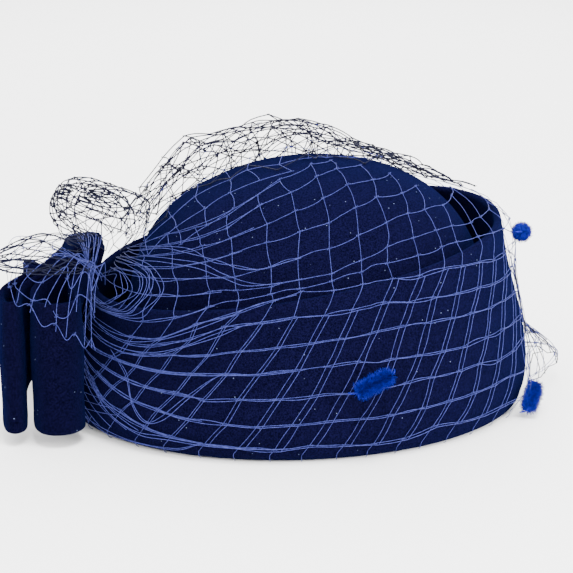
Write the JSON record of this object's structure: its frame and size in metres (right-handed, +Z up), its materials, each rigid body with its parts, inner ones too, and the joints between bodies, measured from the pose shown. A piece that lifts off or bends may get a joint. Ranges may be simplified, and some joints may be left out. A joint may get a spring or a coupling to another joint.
{
  "type": "pillbox hat",
  "caption": "Felt pillbox hat: a domed crown, the brim turned up as a high cuff, a looped felt bow at the back and a net veil with chenille dots.",
  "frame": {"origin": "below the middle of the whole hat, on the surface that its rim rests on", "axes": "+X towards the front, where the cuff is highest, +Y towards the hat's own left, +Z up"},
  "size_m": [0.2708, 0.1986, 0.1238],
  "materials": {
    "felt": "matte brushed wool felt, navy",
    "net": "soft fine net with knots, navy",
    "chenille": "soft cut pile, bright blue"
  },
  "bodies": {
    "root": {"felt_body": "felt", "bow_band_inner": "felt", "bow_band_outer": "felt", "bow_knot": "felt", "veil_net": "net", "chenille_dot_side": "chenille", "chenille_dot_top": "chenille", "chenille_dot_front": "chenille"}
  },
  "joints": []
}
